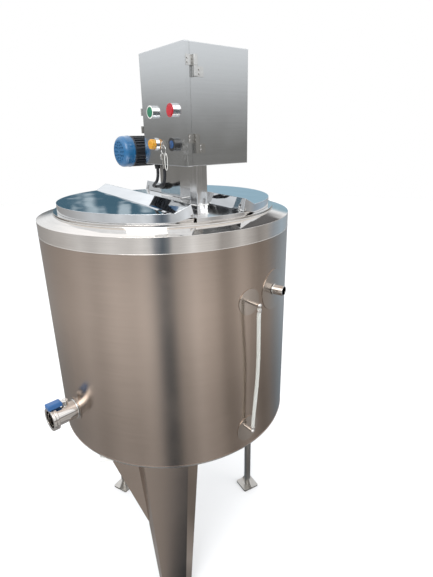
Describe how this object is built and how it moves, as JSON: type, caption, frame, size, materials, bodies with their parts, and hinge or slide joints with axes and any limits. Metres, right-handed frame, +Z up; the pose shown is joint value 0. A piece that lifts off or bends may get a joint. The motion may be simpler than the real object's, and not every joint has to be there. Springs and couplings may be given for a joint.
{
  "type": "bulk milk tank",
  "caption": "Jacketed stainless round milk vat on legs, with hinged half lids, a geared agitator on a bridge, a control box and a drain valve.",
  "frame": {"origin": "on the vat's axis at floor level, between the feet", "axes": "+Z up along the vat's axis, -X the side that the control box's door and the drain valve face, -Y the side of the water inlet and level gauge"},
  "size_m": [0.7741, 0.7397, 1.562],
  "materials": {
    "satin_steel": "satin brushed",
    "base_steel": "mill",
    "vessel_steel": "polished",
    "polished_steel": "polished",
    "lid_steel": "mirror polished",
    "bridge_steel": "polished",
    "box_steel": "fine brushed",
    "foot_steel": "mill",
    "white_plastic": "moulded",
    "rosette_steel": "fine brushed",
    "small_steel": "polished",
    "key_blue": "gloss",
    "bronze": "machined",
    "plate_zinc": "zinc plated",
    "gearbox_alloy": "cast",
    "motor_black": "satin paint",
    "cowl_blue": "gloss paint",
    "black_plastic": "matte",
    "cable_black": "smooth",
    "bezel_chrome": "plated",
    "bezel_black": "gloss",
    "green_plastic": "gloss",
    "red_plastic": "gloss",
    "amber_lens": "gloss",
    "gasket_rubber": "matte",
    "blue_grip": "gloss",
    "clear_tube": "clear",
    "foam": "foamed"
  },
  "bodies": {
    "vat": {"outer_cladding": "satin_steel", "base_pan": "base_steel", "inner_vessel": "vessel_steel", "jacket_shell": "base_steel", "insulation": "foam", "top_shoulder": "polished_steel", "neck_collar": "polished_steel", "front_leg": "satin_steel", "rear_legs": "foot_steel", "foot_plates": "foot_steel", "jacket_drain": "white_plastic", "bridge": "bridge_steel", "lid_hinge_pins": "small_steel", "gearbox_stool": "bridge_steel", "control_post": "bridge_steel", "gearbox_housing": "gearbox_alloy", "gearbox_cover": "gearbox_alloy", "gearbox_screws": "small_steel", "gearbox_bearings": "small_steel", "motor_body": "motor_black", "fan_cowl": "cowl_blue", "control_box": "box_steel", "box_hinge_leaves": "small_steel", "mounting_plate": "plate_zinc", "control_gear": "black_plastic", "latch_bases": "small_steel", "cable_glands": "black_plastic", "motor_cable": "cable_black", "probe_cable": "cable_black", "outlet_tube": "polished_steel", "rosettes": "rosette_steel", "outlet_ferrule": "polished_steel", "water_inlet": "polished_steel", "gauge_fittings": "polished_steel", "gauge_tube": "clear_tube"},
    "lid_left": {"lid_left": "lid_steel"},
    "lid_right": {"lid_right": "lid_steel"},
    "agitator": {"agitator_shaft": "vessel_steel", "agitator_paddle": "vessel_steel", "worm_wheel": "bronze"},
    "motor_shaft": {"motor_rotor": "small_steel", "worm": "small_steel", "cooling_fan": "black_plastic"},
    "door": {"control_door": "box_steel", "door_gasket": "gasket_rubber", "door_hinge_leaves": "small_steel", "button_bodies": "bezel_chrome", "pilot_lamp_body": "bezel_chrome", "pilot_lamp_lens": "amber_lens", "key_switch_body": "bezel_black"},
    "start_button": {"start_button": "green_plastic"},
    "stop_button": {"stop_button": "red_plastic"},
    "key_switch": {"key_switch_barrel": "key_blue", "key": "small_steel"},
    "key_ring": {"key_ring": "small_steel"},
    "latch_upper": {"latch_upper": "small_steel"},
    "latch_lower": {"latch_lower": "small_steel"},
    "valve": {"valve_disc": "polished_steel", "valve_lever": "polished_steel", "lever_grip": "blue_grip"}
  },
  "joints": [
    {"name": "lid_left_hinge", "type": "hinge", "parent": "vat", "child": "lid_left", "pos_m": [-0.07365, 0.00722, 1.204], "axis": [0.0976, 0.9952, 0], "range_deg": [0, 50]},
    {"name": "lid_right_hinge", "type": "hinge", "parent": "vat", "child": "lid_right", "pos_m": [0.07365, -0.00722, 1.204], "axis": [-0.0976, -0.9952, 0], "range_deg": [0, 45]},
    {"name": "agitator_spin", "type": "hinge", "parent": "vat", "child": "agitator", "pos_m": [0.03, 0.018, 1], "axis": [0, 0, 1], "continuous": true},
    {"name": "motor_spin", "type": "hinge", "parent": "vat", "child": "motor_shaft", "pos_m": [0, 0.048, 1.335], "axis": [1, 0, 0], "continuous": true},
    {"name": "door_hinge", "type": "hinge", "parent": "vat", "child": "door", "pos_m": [-0.046, -0.23, 1.435], "axis": [0, 0, 1], "range_deg": [0, 110]},
    {"name": "start_press", "type": "slide", "parent": "door", "child": "start_button", "axis": [1, 0, 0], "range_m": [0, 0.003], "stiffness_N_per_m": 400},
    {"name": "stop_press", "type": "slide", "parent": "door", "child": "stop_button", "axis": [1, 0, 0], "range_m": [0, 0.003], "stiffness_N_per_m": 400},
    {"name": "key_turn", "type": "hinge", "parent": "door", "child": "key_switch", "pos_m": [-0.08, -0.17, 1.354], "axis": [1, 0, 0], "range_deg": [0, 90]},
    {"name": "key_ring_swing", "type": "hinge", "parent": "key_switch", "child": "key_ring", "pos_m": [-0.101, -0.17, 1.354], "axis": [0, 1, 0], "range_deg": [-20, 70]},
    {"name": "latch_upper_turn", "type": "hinge", "parent": "vat", "child": "latch_upper", "pos_m": [-0.036, -0.023, 1.432], "axis": [0, 0, -1], "range_deg": [-42, 60]},
    {"name": "latch_lower_turn", "type": "hinge", "parent": "vat", "child": "latch_lower", "pos_m": [-0.036, -0.023, 1.389], "axis": [0, 0, -1], "range_deg": [-14, 80]},
    {"name": "valve_turn", "type": "hinge", "parent": "vat", "child": "valve", "pos_m": [-0.37433, -0.03538, 0.7022], "axis": [0, 0, 1], "range_deg": [0, 90]}
  ],
  "couplings": [
    {"joint": "motor_spin", "follows": "agitator_spin", "ratio": 30}
  ]
}
